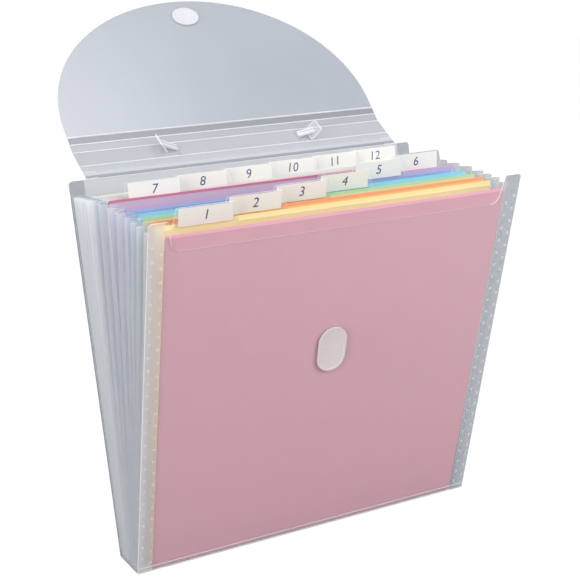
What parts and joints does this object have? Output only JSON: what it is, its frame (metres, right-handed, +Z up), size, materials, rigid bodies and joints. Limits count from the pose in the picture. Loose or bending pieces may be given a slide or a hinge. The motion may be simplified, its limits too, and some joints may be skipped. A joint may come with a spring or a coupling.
{
  "type": "accordion file folder",
  "caption": "Translucent expanding file that fans open from a narrow base, with pleated gussets, tabbed dividers, square coloured paper, a rounded flap, a hook-and-loop closure and a strap.",
  "frame": {"origin": "centre of the base spine's underside", "axes": "+X across the file to the right, -Y out of the front panel, +Z up"},
  "size_m": [0.333, 0.3, 0.4485],
  "materials": {
    "frosted_polypropylene": "frosted, translucent",
    "gusset_film": "thin frosted film",
    "clear_polypropylene": "clear, smooth",
    "clear_strap": "clear, moulded",
    "hook_and_loop": "white nylon hook and loop",
    "label_card": "matt white card",
    "paper_pink": "matt coloured card",
    "paper_yellow": "matt coloured card",
    "paper_orange": "matt coloured card",
    "paper_green": "matt coloured card",
    "paper_blue": "matt coloured card",
    "paper_purple": "matt coloured card",
    "paper_red": "matt coloured card",
    "paper_silver": "matt coloured card",
    "paper_ivory": "matt coloured card",
    "paper_pale_grey": "matt coloured card",
    "paper_white": "matt coloured card",
    "paper_off_white": "matt coloured card"
  },
  "bodies": {
    "base": {"base_spine": "frosted_polypropylene", "gusset_pleat_01": "gusset_film", "gusset_pleat_02": "gusset_film", "gusset_pleat_03": "gusset_film", "gusset_pleat_04": "gusset_film", "gusset_pleat_05": "gusset_film", "gusset_pleat_06": "gusset_film", "gusset_pleat_07": "gusset_film", "gusset_pleat_08": "gusset_film", "gusset_pleat_09": "gusset_film", "gusset_pleat_10": "gusset_film", "gusset_pleat_11": "gusset_film", "gusset_pleat_12": "gusset_film", "gusset_pleat_13": "gusset_film"},
    "front": {"front_panel": "frosted_polypropylene", "front_gusset_flanges": "gusset_film", "loop_patch": "hook_and_loop", "paper_stack_01": "paper_pink"},
    "back": {"back_panel": "frosted_polypropylene", "back_gusset_flanges": "gusset_film"},
    "flap_band": {"flap_band": "frosted_polypropylene"},
    "flap_strip": {"flap_strip": "frosted_polypropylene"},
    "flap_lid": {"flap_lid": "frosted_polypropylene", "hook_coin": "hook_and_loop"},
    "handle": {"carry_handle": "clear_strap"},
    "divider_01": {"divider_01": "clear_polypropylene", "tab_label_01": "label_card", "paper_stack_02": "paper_yellow"},
    "divider_02": {"divider_02": "clear_polypropylene", "tab_label_02": "label_card", "paper_stack_03": "paper_orange"},
    "divider_03": {"divider_03": "clear_polypropylene", "tab_label_03": "label_card", "paper_stack_04": "paper_green"},
    "divider_04": {"divider_04": "clear_polypropylene", "tab_label_04": "label_card", "paper_stack_05": "paper_blue"},
    "divider_05": {"divider_05": "clear_polypropylene", "tab_label_05": "label_card", "paper_stack_06": "paper_purple"},
    "divider_06": {"divider_06": "clear_polypropylene", "tab_label_06": "label_card"},
    "divider_07": {"divider_07": "clear_polypropylene", "tab_label_07": "label_card", "paper_stack_07": "paper_red"},
    "divider_08": {"divider_08": "clear_polypropylene", "tab_label_08": "label_card", "paper_stack_08": "paper_silver"},
    "divider_09": {"divider_09": "clear_polypropylene", "tab_label_09": "label_card", "paper_stack_09": "paper_ivory"},
    "divider_10": {"divider_10": "clear_polypropylene", "tab_label_10": "label_card", "paper_stack_10": "paper_pale_grey"},
    "divider_11": {"divider_11": "clear_polypropylene", "tab_label_11": "label_card", "paper_stack_11": "paper_white"},
    "divider_12": {"divider_12": "clear_polypropylene", "tab_label_12": "label_card", "paper_stack_12": "paper_off_white"}
  },
  "joints": [
    {"name": "front_hinge", "type": "hinge", "parent": "base", "child": "front", "pos_m": [0, -0.0195, 0.0009], "axis": [-1, 0, 0], "range_deg": [0, 13.8], "deforming": ["gusset_pleat_01"]},
    {"name": "divider_01_hinge", "type": "hinge", "parent": "base", "child": "divider_01", "pos_m": [0, -0.0165, 0.00155], "axis": [-1, 0, 0], "range_deg": [0, 10.9], "deforming": ["gusset_pleat_02"]},
    {"name": "divider_02_hinge", "type": "hinge", "parent": "base", "child": "divider_02", "pos_m": [0, -0.0135, 0.00155], "axis": [-1, 0, 0], "range_deg": [0, 9.4], "deforming": ["gusset_pleat_03"]},
    {"name": "divider_03_hinge", "type": "hinge", "parent": "base", "child": "divider_03", "pos_m": [0, -0.0105, 0.00155], "axis": [-1, 0, 0], "range_deg": [0, 7.8], "deforming": ["gusset_pleat_04"]},
    {"name": "divider_04_hinge", "type": "hinge", "parent": "base", "child": "divider_04", "pos_m": [0, -0.0075, 0.00155], "axis": [-1, 0, 0], "range_deg": [0, 6.1], "deforming": ["gusset_pleat_05"]},
    {"name": "divider_05_hinge", "type": "hinge", "parent": "base", "child": "divider_05", "pos_m": [0, -0.0045, 0.00155], "axis": [-1, 0, 0], "range_deg": [0, 2.6], "deforming": ["gusset_pleat_06"]},
    {"name": "divider_06_hinge", "type": "hinge", "parent": "base", "child": "divider_06", "pos_m": [0, -0.0015, 0.00155], "axis": [-1, 0, 0], "range_deg": [0, 0.6]},
    {"name": "divider_07_hinge", "type": "hinge", "parent": "base", "child": "divider_07", "pos_m": [0, 0.0015, 0.00155], "axis": [1, 0, 0], "range_deg": [0, 3.6], "deforming": ["gusset_pleat_07"]},
    {"name": "divider_08_hinge", "type": "hinge", "parent": "base", "child": "divider_08", "pos_m": [0, 0.0045, 0.00155], "axis": [1, 0, 0], "range_deg": [0, 4.8], "deforming": ["gusset_pleat_08"]},
    {"name": "divider_09_hinge", "type": "hinge", "parent": "base", "child": "divider_09", "pos_m": [0, 0.0075, 0.00155], "axis": [1, 0, 0], "range_deg": [0, 5.8], "deforming": ["gusset_pleat_09"]},
    {"name": "divider_10_hinge", "type": "hinge", "parent": "base", "child": "divider_10", "pos_m": [0, 0.0105, 0.00155], "axis": [1, 0, 0], "range_deg": [0, 6.7], "deforming": ["gusset_pleat_10"]},
    {"name": "divider_11_hinge", "type": "hinge", "parent": "base", "child": "divider_11", "pos_m": [0, 0.0135, 0.00155], "axis": [1, 0, 0], "range_deg": [0, 7.5], "deforming": ["gusset_pleat_11"]},
    {"name": "divider_12_hinge", "type": "hinge", "parent": "base", "child": "divider_12", "pos_m": [0, 0.0165, 0.00155], "axis": [1, 0, 0], "range_deg": [0, 8.3], "deforming": ["gusset_pleat_12"]},
    {"name": "back_hinge", "type": "hinge", "parent": "base", "child": "back", "pos_m": [0, 0.0195, 0.0009], "axis": [1, 0, 0], "range_deg": [0, 9.2], "deforming": ["gusset_pleat_13"]},
    {"name": "flap_fold", "type": "hinge", "parent": "back", "child": "flap_band", "pos_m": [0, 0.07098, 0.31876], "axis": [1, 0, 0], "range_deg": [0, 133.8]},
    {"name": "flap_swing", "type": "hinge", "parent": "flap_band", "child": "flap_strip", "pos_m": [0, 0.07784, 0.32288], "axis": [-1, 0, 0], "range_deg": [0, 90]},
    {"name": "lid_fold", "type": "hinge", "parent": "flap_strip", "child": "flap_lid", "pos_m": [0, 0.10964, 0.34727], "axis": [1, 0, 0], "range_deg": [0, 82.3]},
    {"name": "handle_slide", "type": "slide", "parent": "flap_strip", "child": "handle", "axis": [0, -0.515, 0.8572], "range_m": [0, 0.0015]}
  ],
  "couplings": [
    {"joint": "divider_01_hinge", "follows": "front_hinge", "ratio": 0.78985},
    {"joint": "divider_02_hinge", "follows": "front_hinge", "ratio": 0.68115},
    {"joint": "divider_03_hinge", "follows": "front_hinge", "ratio": 0.56521},
    {"joint": "divider_04_hinge", "follows": "front_hinge", "ratio": 0.44202},
    {"joint": "divider_05_hinge", "follows": "front_hinge", "ratio": 0.1884},
    {"joint": "divider_06_hinge", "follows": "front_hinge", "ratio": 0.043478},
    {"joint": "divider_07_hinge", "follows": "front_hinge", "ratio": 0.26087},
    {"joint": "divider_08_hinge", "follows": "front_hinge", "ratio": 0.34782},
    {"joint": "divider_09_hinge", "follows": "front_hinge", "ratio": 0.42029},
    {"joint": "divider_10_hinge", "follows": "front_hinge", "ratio": 0.4855},
    {"joint": "divider_11_hinge", "follows": "front_hinge", "ratio": 0.54347},
    {"joint": "divider_12_hinge", "follows": "front_hinge", "ratio": 0.60144},
    {"joint": "back_hinge", "follows": "front_hinge", "ratio": 0.66666},
    {"joint": "flap_fold", "follows": "front_hinge", "ratio": 9.6956},
    {"joint": "lid_fold", "follows": "front_hinge", "ratio": 5.9637}
  ]
}
